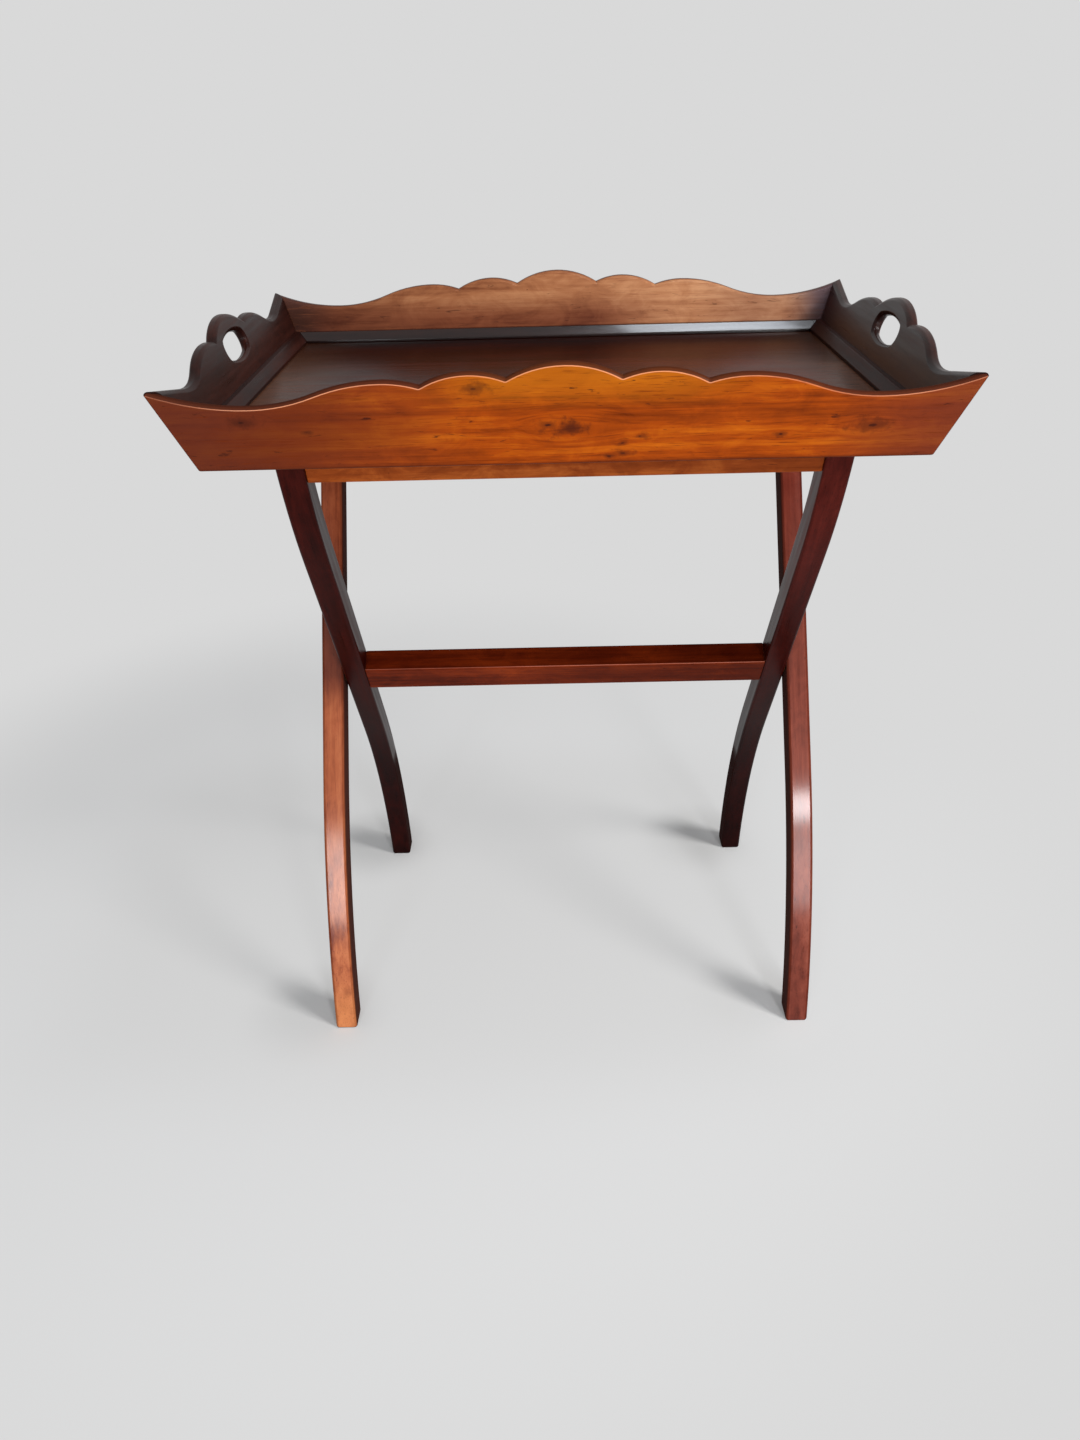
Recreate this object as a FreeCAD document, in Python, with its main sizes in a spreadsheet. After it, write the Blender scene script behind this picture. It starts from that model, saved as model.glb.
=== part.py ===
# Butler's tray table: a lift-off tray with canted, scalloped boards on a folding X stand.
# Millimetres and degrees. Origin on the floor under the middle of the stand, +Z up, the
# tray's long side along X, its front towards -Y.
import FreeCAD, Part
import Sketcher
import math
import os

# Driving dimensions. Board heights run along the slope, up from the board's lower outer edge.
sizes = {
    # tray
    "tray_length": 600.0,          # outside, at the boards' lower edge
    "tray_width": 432.0,
    "splay_angle": 20.0,           # boards lean outwards
    "board_thickness": 9.5,
    "board_chamfer": 2.4,          # along the scalloped edge and round the hand holes
    "notch_round": 1.5,            # at the bottom of the scallop's notches
    "corner_height": 75.5,
    "floor_lift": 12.0,            # floor's underside above the boards' lower edge
    "floor_thickness": 8.0,
    "groove_depth": 5.0,           # how far the floor enters the boards, at its underside
    "groove_clearance": 0.2,
    "bead_width": 10.0,
    "bead_height": 11.0,
    "bead_slope": 8.0,             # rise and run of its sloping face
    # front and rear boards, from the middle outwards
    "long_crest_half": 45.0,       # middle of the board to the inner notch
    "long_lobe_inner": 29.0,       # inner notch to the lobe's top
    "long_lobe_outer": 38.0,       # lobe's top to the outer notch
    "long_shoulder_inner": 30.0,   # outer notch to the shoulder's top
    "long_dip_inset": 52.0,        # board's lower end back to the dip
    "long_dip_drop": 16.1,         # dip below the corner
    "long_shoulder_rise": 20.6,    # shoulder above the dip
    "long_outer_notch_drop": 5.3,
    "long_lobe_rise": 11.0,
    "long_inner_notch_drop": 6.4,
    "long_crest_rise": 13.2,
    "long_fall_share": 0.5,        # part of the fall to the dip that is rounded outwards
    # end boards, from the middle outwards
    "end_crest_half": 55.0,
    "end_shoulder_inner": 22.0,
    "end_dip_inset": 57.0,
    "end_dip_run": 18.0,           # dip to where the edge runs straight to the corner
    "end_dip_drop": 15.6,
    "end_shoulder_rise": 19.1,
    "end_notch_drop": 2.2,
    "end_crest_rise": 14.5,
    "end_fall_share": 0.62,
    "hole_length": 74.0,
    "hole_height": 25.0,
    "hole_end_radius": 9.0,
    "grip_depth": 19.0,            # wood between the hand hole and the crest
    # stand
    "stand_height": 678.5,
    "stand_width": 541.0,          # over the outer legs
    "pivot_height": 367.0,
    "stand_clearance": 6.5,        # between the legs' tops and the boards' lower inner edge
    "top_lean_share": 0.605,       # of the lean from the pivot to the top, left at the legs' upper end
    "top_bend_share": 0.605,       # of the widest upper bend, which would start at the pivot
    "leg_width": 28.0,
    "leg_thickness": 24.5,
    "leg_chamfer": 1.8,
    "foot_bend_height": 270.0,     # where the lower bend starts
    "foot_bend_radius": 675.0,
    # rails and stretcher
    "rail_depth": 35.0,            # along the leg
    "rail_thickness": 21.0,        # across the leg
    "stretcher_depth": 40.5,
    "stretcher_thickness": 26.0,
    "stretcher_lift": 7.0,         # of its middle above the pivots, along the legs
    "rail_round": 2.0,
    "tenon_depth": 20.0,
    "tenon_thickness": 13.0,
    "tenon_length": 15.0,
    "tenon_clearance": 0.15,
    # pivots
    "bolt_diameter": 7.0,
    "bolt_head_diameter": 15.0,
    "bolt_head_thickness": 4.0,
    "bolt_grip": 22.0,             # how far the bolt enters the stretcher past its shoulder
    "bolt_clearance": 0.06,        # on the radius
    "head_recess": 0.8,            # head below the leg's outer face
    "slot_width": 1.6,
    "slot_depth": 1.4,
    "washer_diameter": 17.0,
    "washer_thickness": 2.0,
    # straps and tacks
    "strap_width": 46.0,
    "strap_thickness": 1.8,
    "strap_spacing": 230.0,        # middle to middle
    "strap_setback": 2.0,          # strap's end inside the rail's outer edge
    "strap_housing": 3.2,          # depth of the housing in the rail's top
    "strap_side_clearance": 0.3,
    "tack_spacing": 14.0,
    "tack_head_diameter": 6.4,
    "tack_head_thickness": 0.9,
    "tack_crown_diameter": 3.6,    # flat top of the head
    "tack_shank": 1.9,             # square, under the head
    "tack_tip": 0.4,
    "tack_length": 11.0,
    "tack_clearance": 0.05,
}
OVERRUN = 15.0                     # how far blanks and cutters run past the finished faces
TACKS_PER_END = 3

doc = FreeCAD.newDocument("butlers_tray_table")
sheet = doc.addObject("Spreadsheet::Sheet", "dims")
for row, (alias, number) in enumerate(sizes.items(), start=1):
    sheet.set(f"A{row}", alias)
    sheet.set(f"B{row}", str(number))
    sheet.setAlias(f"B{row}", alias)
doc.recompute()
derived = []


class Size:
    """A number together with the expression that gives it from the sheet."""

    def __init__(self, value, text):
        self.value = value
        self.text = text

    def __add__(self, other):
        other = as_size(other)
        return Size(self.value + other.value, f"({self.text} + {other.text})")

    def __sub__(self, other):
        other = as_size(other)
        return Size(self.value - other.value, f"({self.text} - {other.text})")

    def __mul__(self, other):
        other = as_size(other)
        return Size(self.value * other.value, f"({self.text} * {other.text})")

    def __truediv__(self, other):
        other = as_size(other)
        return Size(self.value / other.value, f"({self.text} / {other.text})")

    def __neg__(self):
        return self * -1.0


def as_size(number):
    if isinstance(number, Size):
        return number
    return Size(float(number), f"({float(number)!r})")


def cell(alias):
    return Size(float(sheet.get(alias)), f"dims.{alias}")


def derive(alias, size):
    """Keeps a worked-out size as a formula in the sheet, and returns it under its own name."""
    row = len(sizes) + len(derived) + 1
    derived.append(alias)
    sheet.set(f"A{row}", alias)
    sheet.set(f"B{row}", "=" + size.text.replace("dims.", ""))
    sheet.setAlias(f"B{row}", alias)
    return Size(size.value, f"dims.{alias}")


def sine(angle):
    return Size(math.sin(math.radians(angle.value)), f"sin({angle.text})")


def cosine(angle):
    return Size(math.cos(math.radians(angle.value)), f"cos({angle.text})")


def arcsine(ratio):
    return Size(math.degrees(math.asin(ratio.value)), f"asin({ratio.text})")


def arccosine(ratio):
    return Size(math.degrees(math.acos(ratio.value)), f"acos({ratio.text})")


def arctangent(ratio):
    return Size(math.degrees(math.atan(ratio.value)), f"atan({ratio.text})")


def root(square):
    return Size(math.sqrt(square.value), f"sqrt({square.text})")


ZERO = as_size(0.0)


# Drawing and binding

def bind(item, **properties):
    for name, size in properties.items():
        item.setExpression(name.replace("__", "."), as_size(size).text)


def new_body(name):
    return doc.addObject("PartDesign::Body", name)


def new_sketch(body, name, plane):
    sketch = body.newObject("Sketcher::SketchObject", name)
    support = next(item for item in body.Origin.OriginFeatures if item.Role == plane)
    sketch.AttachmentSupport = [(support, "")]
    sketch.MapMode = "FlatFace"
    return sketch


def flat(point):
    return FreeCAD.Vector(point[0].value, point[1].value, 0.0)


def draw(sketch, corners, arcs):
    """Closed outline through corners; arcs gives the centre and radius of the edges that bend."""
    first = sketch.GeometryCount
    count = len(corners)
    ends = []
    for i in range(count):
        start, end = flat(corners[i]), flat(corners[(i + 1) % count])
        if i not in arcs:
            sketch.addGeometry(Part.LineSegment(start, end), False)
            ends.append((1, 2))
            continue
        centre, radius = arcs[i]
        middle = flat(centre)
        from_angle = math.atan2(start.y - middle.y, start.x - middle.x)
        to_angle = math.atan2(end.y - middle.y, end.x - middle.x)
        anticlockwise = (to_angle - from_angle) % (2.0 * math.pi) < math.pi
        if not anticlockwise:
            from_angle, to_angle = to_angle, from_angle
        circle = Part.Circle(middle, FreeCAD.Vector(0, 0, 1), radius.value)
        sketch.addGeometry(Part.ArcOfCircle(circle, from_angle, to_angle), False)
        ends.append((1, 2) if anticlockwise else (2, 1))
    for i in range(count):
        before = (i - 1) % count
        link = ("Coincident", first + before, ends[before][1], first + i, ends[i][0])
        sketch.addConstraint(Sketcher.Constraint(*link))
    for i, (x, y) in enumerate(corners):
        for kind, size in (("DistanceX", x), ("DistanceY", y)):
            place = (kind, -1, 1, first + i, ends[i][0], size.value)
            fix(sketch, Sketcher.Constraint(*place), size)
    for i, (centre, radius) in arcs.items():
        fix(sketch, Sketcher.Constraint("Radius", first + i, radius.value), radius)


def fix(sketch, constraint, size):
    number = sketch.addConstraint(constraint)
    sketch.setExpression(f"Constraints[{number}]", size.text)


def pad(body, sketch, length, both_ways=False, along=None):
    feature = body.newObject("PartDesign::Pad", sketch.Name + "_pad")
    feature.Profile = sketch
    feature.SideType = "Symmetric" if both_ways else "One side"
    bind(feature, Length=length)
    if along is not None:
        feature.UseCustomVector = True
        feature.AlongSketchNormal = True
        feature.Direction = FreeCAD.Vector(0, 1, 0)
        bind(feature, Direction__y=along[0], Direction__z=along[1])
    doc.recompute()
    return feature


def dress_edges(body, feature, kind, wanted, **size):
    """PartDesign Fillet or Chamfer on the feature's edges that are wanted."""
    names = [f"Edge{i}" for i, edge in enumerate(feature.Shape.Edges, start=1) if wanted(edge)]
    dressed = body.newObject("PartDesign::" + kind, f"{feature.Name}_{kind.lower()}")
    dressed.Base = (feature, names)
    bind(dressed, **size)
    doc.recompute()
    return dressed


def box(name, extent, middle, tilt=ZERO):
    """Box of the given extent about its middle, tilted about X."""
    item = doc.addObject("Part::Box", name)
    length, width, height = (as_size(size) for size in extent)
    x, y, z = (as_size(size) for size in middle)
    lean_sin, lean_cos = sine(tilt), cosine(tilt)
    item.Placement.Rotation = FreeCAD.Rotation(FreeCAD.Vector(1, 0, 0), 1.0)
    bind(item, Length=length, Width=width, Height=height,
         Placement__Base__x=x - length / 2,
         Placement__Base__y=y - (width * lean_cos - height * lean_sin) / 2,
         Placement__Base__z=z - (width * lean_sin + height * lean_cos) / 2,
         Placement__Rotation__Angle=tilt)
    return item


def rod(name, diameter, length, start):
    """Cylinder along +X from its start."""
    item = doc.addObject("Part::Cylinder", name)
    x, y, z = (as_size(size) for size in start)
    item.Placement.Rotation = FreeCAD.Rotation(FreeCAD.Vector(0, 1, 0), 90.0)
    bind(item, Radius=as_size(diameter) / 2, Height=length,
         Placement__Base__x=x, Placement__Base__y=y, Placement__Base__z=z)
    return item


def join(name, items):
    item = doc.addObject("Part::MultiFuse", name)
    item.Shapes = items
    item.Refine = True
    return item


def cut(name, base, tools):
    item = doc.addObject("Part::Cut", name)
    item.Base = base
    item.Tool = tools[0] if len(tools) == 1 else join(name + "_tools", tools)
    item.Refine = True
    return item


def common(name, base, tool):
    item = doc.addObject("Part::Common", name)
    item.Base = base
    item.Tool = tool
    item.Refine = True
    return item


def group(name, items):
    """Separate solids that share one node."""
    item = doc.addObject("Part::Compound", name)
    item.Links = items
    return item


def turn_about_z(item, angle):
    item.Placement.Rotation = FreeCAD.Rotation(FreeCAD.Vector(0, 0, 1), angle)
    return item


nodes = []


def finish(item, label, lift=ZERO, turn=0.0):
    """Names a finished sub-part and puts it in its place: raised by lift, turned about Z."""
    item.Label = label
    turn_about_z(item, turn)
    bind(item, Placement__Base__z=lift)
    nodes.append(item)


# Tray. Every board and bead is drawn as the front one, about the tray's middle at the boards'
# lower edge, and is then turned into place.

tray_base = derive("tray_base", cell("stand_height") - cell("floor_lift"))
splay_sin = derive("splay_sin", sine(cell("splay_angle")))
splay_cos = derive("splay_cos", cosine(cell("splay_angle")))
splay = splay_sin / splay_cos
board_across = derive("board_across", cell("board_thickness") / splay_cos)
floor_top = derive("floor_top", cell("floor_lift") + cell("floor_thickness"))


def tangent_radius(run, rise):
    return (run * run + rise * rise) / (rise * 2)


def scallop(stations, share):
    """Corners and arcs of one half of a board's top, from the middle out to the corner.

    Crests and dips are level, so every arc's centre is straight above or below one of them. From a
    ramp the edge runs straight to the corner.
    """
    corners, arcs = [stations[0][1:]], []
    for (kind, x, h), (next_kind, next_x, next_h) in zip(stations, stations[1:]):
        run = next_x - x
        if (kind, next_kind) == ("crest", "dip"):
            both = tangent_radius(run, h - next_h)
            upper, lower = both * share, both * (as_size(1.0) - share)
            corners += [(x + run * share, h - (h - next_h) * share), (next_x, next_h)]
            arcs += [((x, h - upper), upper), ((next_x, next_h + lower), lower)]
            continue
        if kind == "ramp":
            corners.append((next_x, next_h))
            arcs.append(None)
            continue
        level_x, level_h, rise = (x, h, next_h - h) if kind != "notch" else (next_x, next_h, h - next_h)
        side = 1.0 if kind == "dip" else -1.0
        radius = tangent_radius(run, rise * side)
        corners.append((next_x, next_h))
        arcs.append(((level_x, level_h + radius * side), radius))
    return corners, arcs


def board_blank(name, half_length, stations, share, hole_top=None):
    """Board before its ends are mitred, on the XZ plane with its thickness towards +Y.

    Its top is sawn so that it lies level across the board once the board leans.
    """
    body = new_body(name)
    half, half_arcs = scallop(stations, share)
    corner = half[-1]
    last_run = corner[0] - stations[-2][1]
    last_rise = corner[1] - stations[-2][2]
    if half_arcs[-1] is None:
        slope = last_rise / last_run
    else:
        slope = last_run / (half_arcs[-1][1] - last_rise)
    end = corner[0] + OVERRUN
    outer = [(end, corner[1] + slope * OVERRUN), (end, as_size(-OVERRUN))]
    mirrored = [(-x, h) for x, h in reversed(half[1:] + outer)]
    corners = mirrored + half + outer
    arcs = {}
    for i, arc in enumerate(half_arcs):
        if arc is not None:
            (x, h), radius = arc
            arcs[len(mirrored) + i] = ((x, h), radius)
            arcs[len(mirrored) - 1 - i] = ((-x, h), radius)
    outline = new_sketch(body, name + "_outline", "XZ_Plane")
    draw(outline, corners, arcs)
    solid = pad(body, outline, cell("board_thickness"), along=(splay_cos, -splay_sin))
    if hole_top is not None:
        solid = hand_hole(body, solid, hole_top)
    notches = [x.value for kind, x, h in stations if kind == "notch"]
    above = corner[1].value / 3.0

    def at_a_notch(edge):
        box_of = edge.BoundBox
        return box_of.XLength < 0.01 and any(abs(abs(box_of.XMin) - x) < 0.01 for x in notches)

    def on_a_face(edge):
        return edge.BoundBox.YLength < 0.01 and edge.BoundBox.ZMin > above

    solid = dress_edges(body, solid, "Fillet", at_a_notch, Radius=cell("notch_round"))
    dress_edges(body, solid, "Chamfer", on_a_face, Size=cell("board_chamfer"))
    bind(body, Placement__Base__y=-half_length)
    return body


def hand_hole(body, solid, top):
    half_long, half_high = cell("hole_length") / 2, cell("hole_height") / 2
    tip = cell("hole_end_radius")
    level = top - half_high
    tip_x = half_long - tip
    flank = (tip_x * tip_x + half_high * half_high - tip * tip) / ((half_high - tip) * 2)
    reach_x = tip_x + tip * tip_x / (flank - tip)
    reach_h = tip * (flank - half_high) / (flank - tip)
    corners = [(reach_x, level - reach_h), (reach_x, level + reach_h),
               (-reach_x, level + reach_h), (-reach_x, level - reach_h)]
    arcs = {0: ((tip_x, level), tip), 1: ((ZERO, level + half_high - flank), flank),
            2: ((-tip_x, level), tip), 3: ((ZERO, level - half_high + flank), flank)}
    outline = new_sketch(body, body.Name + "_hole", "XZ_Plane")
    draw(outline, corners, arcs)
    pocket = body.newObject("PartDesign::Pocket", outline.Name + "_cut")
    pocket.Profile = outline
    pocket.Type = "ThroughAll"
    before = solid.Shape.Volume
    doc.recompute()
    if pocket.Shape.Volume > before - 1.0:
        raise RuntimeError("the hand hole cut nothing")
    return pocket


def mitre_wedge(name, half_length, half_width, top):
    """Upright prism between the two mitre planes of a front board, inside and outside the tray."""
    item = doc.addObject("Part::Wedge", name)
    outside = top + OVERRUN
    inside = board_across + cell("bead_width") + OVERRUN
    bind(item, Xmin=-half_length - outside, Xmax=half_length + outside,
         X2min=-half_length + inside, X2max=half_length - inside,
         Ymin=-half_width - outside, Ymax=-half_width + inside,
         Zmin=ZERO, Zmax=outside, Z2min=ZERO, Z2max=outside)
    return item


def inner_face(half_width, height):
    """Y of a front board's inner face at a height above its lower edge."""
    return board_across - half_width - splay * height


def floor_reach(half_width):
    return -inner_face(half_width, cell("floor_lift")) + cell("groove_depth")


def make_board(label, half_length, half_width, stations, share, turn, hole_top=None):
    blank = board_blank(label + "_blank", half_width, stations, share, hole_top)
    blank.Placement.Rotation = FreeCAD.Rotation(FreeCAD.Vector(1, 0, 0), 1.0)
    bind(blank, Placement__Rotation__Angle=cell("splay_angle"))
    top = max((station[2] for station in stations), key=lambda height: height.value)
    mitred = common(label + "_mitred", blank, mitre_wedge(label + "_mitre", half_length, half_width, top))
    gap = cell("groove_clearance")
    high = cell("floor_thickness") + gap
    groove = box(label + "_groove",
                 ((floor_reach(half_length) + gap) * 2, (floor_reach(half_width) + gap) * 2, high),
                 (ZERO, ZERO, cell("floor_lift") + high / 2))
    finish(cut(label + "_board", mitred, [groove]), label, tray_base, turn)


def make_bead(label, half_length, half_width, turn):
    body = new_body(label + "_strip")
    top = floor_top + cell("bead_height")
    edge = inner_face(half_width, floor_top) + cell("bead_width")
    slope = cell("bead_slope")
    corners = [(inner_face(half_width, floor_top), floor_top), (edge, floor_top), (edge, top - slope),
               (edge - slope, top), (inner_face(half_width, top), top)]
    outline = new_sketch(body, label + "_outline", "YZ_Plane")
    draw(outline, corners, {})
    pad(body, outline, (half_length + OVERRUN) * 2, both_ways=True)
    wedge = mitre_wedge(label + "_mitre", half_length, half_width, top)
    finish(common(label + "_bead", body, wedge), label, tray_base, turn)


def stations_from(corner_x, steps):
    """Stations from the middle out to the corner, from each one's run and rise to the next."""
    heights = [cell("corner_height")]
    for kind, run, rise in reversed(steps):
        heights.append(heights[-1] + rise)
    heights.reverse()
    stations, x = [], ZERO
    for (kind, run, rise), height in zip(steps, heights):
        stations.append((kind, x if run is None else run, height))
        x = x if run is None else run
    return stations + [("corner", corner_x, heights[-1])]


def corner_reach(half):
    return half + cell("corner_height") * splay_sin


half_length = cell("tray_length") / 2
half_width = cell("tray_width") / 2

inner_notch = cell("long_crest_half")
lobe = inner_notch + cell("long_lobe_inner")
outer_notch = lobe + cell("long_lobe_outer")
shoulder = outer_notch + cell("long_shoulder_inner")
long_stations = stations_from(corner_reach(half_length), [
    ("crest", ZERO, cell("long_crest_rise")),
    ("notch", inner_notch, -cell("long_inner_notch_drop")),
    ("crest", lobe, cell("long_lobe_rise")),
    ("notch", outer_notch, -cell("long_outer_notch_drop")),
    ("crest", shoulder, cell("long_shoulder_rise")),
    ("dip", half_length - cell("long_dip_inset"), -cell("long_dip_drop")),
])
end_notch = cell("end_crest_half")
end_dip = half_width - cell("end_dip_inset")
dip_reach = corner_reach(half_width) - end_dip
ramp_rise = derive("end_ramp_rise", cell("end_dip_run") * cell("end_dip_drop") / (dip_reach * 2 - cell("end_dip_run")))
end_stations = stations_from(corner_reach(half_width), [
    ("crest", ZERO, cell("end_crest_rise")),
    ("notch", end_notch, -cell("end_notch_drop")),
    ("crest", end_notch + cell("end_shoulder_inner"), cell("end_shoulder_rise")),
    ("dip", end_dip, -ramp_rise),
    ("ramp", end_dip + cell("end_dip_run"), ramp_rise - cell("end_dip_drop")),
])
hole_top = end_stations[0][2] - cell("grip_depth")

for label, turn in (("front_board", 0.0), ("rear_board", 180.0)):
    make_board(label, half_length, half_width, long_stations, cell("long_fall_share"), turn)
for label, turn in (("left_end_board", -90.0), ("right_end_board", 90.0)):
    make_board(label, half_width, half_length, end_stations, cell("end_fall_share"), turn, hole_top)
for label, turn in (("front_bead", 0.0), ("rear_bead", 180.0)):
    make_bead(label, half_length, half_width, turn)
for label, turn in (("left_bead", -90.0), ("right_bead", 90.0)):
    make_bead(label, half_width, half_length, turn)

floor_panel = doc.addObject("Part::Box", "floor_panel")
bind(floor_panel, Length=floor_reach(half_length) * 2, Width=floor_reach(half_width) * 2,
     Height=cell("floor_thickness"))
finish(floor_panel, "tray_floor", tray_base + cell("floor_lift"))
bind(floor_panel, Placement__Base__x=-floor_reach(half_length), Placement__Base__y=-floor_reach(half_width))


# Stand. Both frames are drawn as the inner one, whose legs rise towards the front, and the outer
# frame is then turned half round.

half_leg = cell("leg_width") / 2
thick = cell("leg_thickness")
top = cell("stand_height")
pivot = cell("pivot_height")
outer_leg_x = derive("outer_leg_x", cell("stand_width") / 2 - thick / 2)
inner_leg_x = derive("inner_leg_x", outer_leg_x - thick - cell("washer_thickness"))

# The upper bend puts the leg's top corner just inside the tray's boards, and the leg's straight middle
# runs from there, tangent to the bend, through the pivot.
top_reach = derive("top_reach", half_width - board_across - cell("stand_clearance"))
top_rise = derive("top_rise", top - pivot)
top_lean = derive("top_lean", arctangent(top_reach / top_rise) * cell("top_lean_share"))
top_middle = derive("top_middle", top_reach - half_leg / cosine(top_lean))
bow = top_middle * cosine(top_lean) - top_rise * sine(top_lean)
widest = (top_middle * top_middle + top_rise * top_rise) / (bow * 2)
top_radius = derive("top_bend_radius", widest * cell("top_bend_share"))
top_fall = top_radius * sine(top_lean)
front_radius = top_radius + half_leg
top_centre = (derive("top_centre_y", root(front_radius * front_radius - top_fall * top_fall) - top_reach),
              derive("top_centre_z", top + top_fall))
centre_rise = derive("centre_rise", top_centre[1] - pivot)
centre_reach = root(top_centre[0] * top_centre[0] + centre_rise * centre_rise)
leg_lean = derive("leg_lean", arctangent(centre_rise / top_centre[0]) - arccosine(top_radius / centre_reach))
lean_sin = derive("lean_sin", sine(leg_lean))
lean_cos = derive("lean_cos", cosine(leg_lean))
lean_slope = lean_sin / lean_cos
top_bend = (top_centre[0] - top_radius * lean_cos, top_centre[1] - top_radius * lean_sin)

foot_bend = ((pivot - cell("foot_bend_height")) * lean_slope, cell("foot_bend_height"))
foot_centre = (derive("foot_centre_y", foot_bend[0] - cell("foot_bend_radius") * lean_cos),
               derive("foot_centre_z", foot_bend[1] - cell("foot_bend_radius") * lean_sin))


def beside(point, offset):
    """Point across the leg's straight middle, behind its centre line."""
    return (point[0] + offset * lean_cos, point[1] + offset * lean_sin)


def foot_point(radius):
    return (foot_centre[0] + root(radius * radius - foot_centre[1] * foot_centre[1]), ZERO)


def top_point(radius, level):
    fall = top_centre[1] - level
    return (top_centre[0] - root(radius * radius - fall * fall), level)


def leg_blank(name, x):
    body = new_body(name)
    foot_rear, foot_front = cell("foot_bend_radius") + half_leg, cell("foot_bend_radius") - half_leg
    top_rear, top_front = top_radius - half_leg, front_radius
    corners = [foot_point(foot_front), foot_point(foot_rear), beside(foot_bend, half_leg),
               beside(top_bend, half_leg), top_point(top_rear, top), top_point(top_front, top),
               beside(top_bend, -half_leg), beside(foot_bend, -half_leg)]
    arcs = {1: (foot_centre, foot_rear), 3: (top_centre, top_rear),
            5: (top_centre, top_front), 7: (foot_centre, foot_front)}
    outline = new_sketch(body, name + "_outline", "YZ_Plane")
    draw(outline, corners, arcs)
    solid = pad(body, outline, thick, both_ways=True)

    def on_a_side(edge):
        return edge.BoundBox.XLength < 0.01 and edge.BoundBox.ZMin < top.value - 0.01

    dress_edges(body, solid, "Chamfer", on_a_side, Size=cell("leg_chamfer"))
    bind(body, Placement__Base__x=x)
    return body


# Middle of a top rail and its tilt: it lies along the leg where the leg has bent upright a little.
rail_level = derive("rail_level", top - cell("rail_depth") * lean_cos / 2)
rail_sin = derive("rail_sin", (top_centre[1] - rail_level) / top_radius)
rail_tilt = derive("rail_tilt", arcsine(rail_sin))
rail_cos = derive("rail_cos", root(as_size(1.0) - rail_sin * rail_sin))
rail_y = derive("rail_y", top_point(top_radius, rail_level)[0])
rail_top_y = derive("rail_top_y", rail_y - (top - rail_level) * rail_sin / rail_cos)
rail_half_top = cell("rail_thickness") / rail_cos / 2

tenon_gap = cell("tenon_clearance")


def mortise(name, leg_x, side, y, z, tilt):
    """Cutter for a mortise in the face of a leg that looks to the middle; side is the leg's sign."""
    deep = cell("tenon_length") + tenon_gap
    face = leg_x * side - thick * side / 2
    return box(name, (deep, cell("tenon_thickness") + tenon_gap * 2, cell("tenon_depth") + tenon_gap * 2),
               (face + deep * side / 2, y, z), tilt)


def bar(name, kind, span, y, z, tilt, lift, extra=ZERO):
    """Rail or stretcher with a tenon at each end; its middle lies above the tenons' by lift, along its tilt."""
    blank = box(name + "_stock", (span, cell(kind + "_thickness"), cell(kind + "_depth") + extra),
                (ZERO, y - lift * sine(tilt), z + lift * cosine(tilt)), tilt)
    doc.recompute()
    rounded = doc.addObject("Part::Fillet", name + "_rounded")
    rounded.Base = blank
    radius = cell("rail_round").value
    rounded.Edges = [(i, radius, radius) for i, edge in enumerate(blank.Shape.Edges, start=1)
                     if edge.BoundBox.YLength < 0.01 and edge.BoundBox.ZLength < 0.01]
    tenons = box(name + "_tenons",
                 (span + cell("tenon_length") * 2, cell("tenon_thickness"), cell("tenon_depth")), (ZERO, y, z), tilt)
    return join(name + "_bar", [rounded, tenons])


def bolt_bore(name, side, leg_x, length):
    """Bore through a leg, or into the stretcher, on the pivot's axis."""
    start = leg_x * side - as_size(length) / 2
    return rod(name, cell("bolt_diameter") + cell("bolt_clearance") * 2, length, (start, ZERO, pivot))


def tack_places(strap_x):
    first = -(TACKS_PER_END - 1) / 2.0
    return [strap_x + cell("tack_spacing") * (first + i) for i in range(TACKS_PER_END)]


strap_x = cell("strap_spacing") / 2
strap_bottom = top - cell("strap_housing")
strap_end = rail_half_top - rail_top_y - cell("strap_setback")


tack_level = derive("tack_level", strap_bottom + cell("strap_thickness"))


def tack_shank(name, x, y, gap=ZERO):
    """Square shank that tapers from the strap's top down to a point; gap widens it all round."""
    item = doc.addObject("Part::Wedge", name)
    neck = cell("tack_shank") / 2 + gap
    tip = cell("tack_tip") / 2 + gap
    item.Placement.Rotation = FreeCAD.Rotation(FreeCAD.Vector(1, 0, 0), -90.0)
    bind(item, Xmin=-neck, Xmax=neck, Zmin=-neck, Zmax=neck, X2min=-tip, X2max=tip, Z2min=-tip, Z2max=tip,
         Ymin=ZERO, Ymax=cell("tack_length") + gap,
         Placement__Base__x=x, Placement__Base__y=y, Placement__Base__z=tack_level)
    return item


def tack_bores(name, places, y):
    return [tack_shank(f"{name}_bore_{i}", x, y, cell("tack_clearance")) for i, x in enumerate(places)]


both_straps = tack_places(-strap_x) + tack_places(strap_x)


def make_rail(label, leg_x, turn):
    span = (leg_x - thick / 2) * 2
    spare = cell("rail_thickness")
    stock = bar(label, "rail", span, rail_y, rail_level, rail_tilt, spare / 2, spare)
    level = box(label + "_level", (span * 2, spare * 8, spare * 3), (ZERO, rail_y, top + spare * 3 / 2))
    cutters = [level]
    for side in (-1.0, 1.0):
        wide = cell("strap_width") + cell("strap_side_clearance") * 2
        cutters.append(box(f"{label}_housing_{len(cutters)}", (wide, spare * 8, cell("strap_housing") + spare),
                           (strap_x * side, rail_y, strap_bottom + (cell("strap_housing") + spare) / 2)))
    cutters += tack_bores(label, both_straps, rail_top_y)
    finish(cut(label + "_cut", stock, cutters), label, ZERO, turn)


def make_leg(label, leg_x, side, turn, cutters):
    finish(cut(label + "_cut", leg_blank(label + "_blank", leg_x * side), cutters), label, ZERO, turn)


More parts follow.
